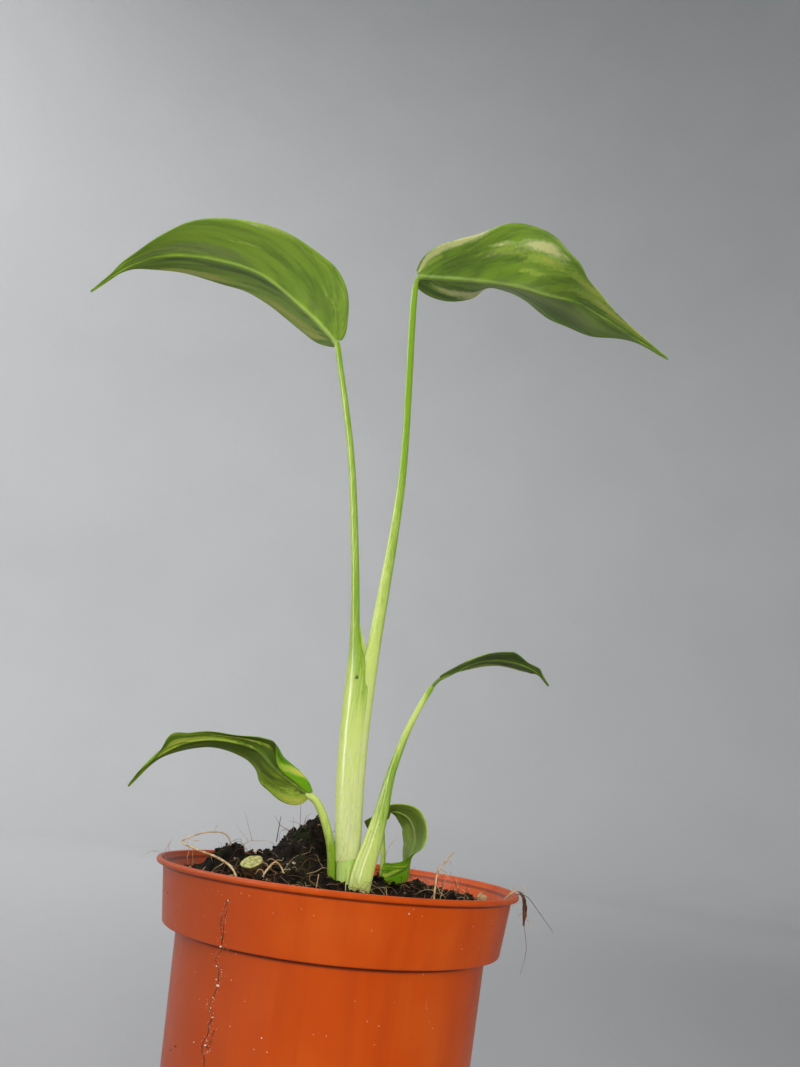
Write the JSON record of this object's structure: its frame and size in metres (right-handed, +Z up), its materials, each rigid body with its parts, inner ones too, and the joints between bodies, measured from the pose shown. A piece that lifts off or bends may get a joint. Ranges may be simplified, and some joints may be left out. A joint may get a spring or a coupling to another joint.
{
  "type": "potted variegated aroid house plant",
  "caption": "Young variegated aroid with arching lance-shaped leaves on slim stalks from a sheathed stem, rooted in soil in a round plastic nursery pot with a stepped collar.",
  "frame": {"origin": "centre of the pot's flat base, on the surface it stands on", "axes": "+Z up along the pot's axis, -Y to the front, +X to the right seen from the front"},
  "size_m": [0.1657, 0.085, 0.2554],
  "materials": {
    "pot_plastic": "satin moulded terracotta-coloured plastic",
    "soil": "damp dark peat with fine dead roots",
    "stem": "pale green, faintly streaked",
    "petiole": "smooth green to cream, streaked lengthwise",
    "leaf": "satin green with cream and yellow variegation",
    "cut_stem": "dried cut face with brown skin",
    "root": "dry tan to brown"
  },
  "bodies": {
    "root": {"pot": "pot_plastic", "soil": "soil", "crown": "stem", "petiole_upper_left": "petiole", "petiole_upper_right": "petiole", "petiole_lower_left": "petiole", "petiole_lower_right": "petiole", "petiole_curled": "petiole", "blade_upper_left": "leaf", "blade_upper_right": "leaf", "blade_lower_left": "leaf", "blade_lower_right": "leaf", "blade_curled": "leaf", "cut_stub": "cut_stem", "root_arch_left": "root", "root_loop_front": "root", "root_arc_right": "root", "root_over_rim": "root"}
  },
  "joints": []
}
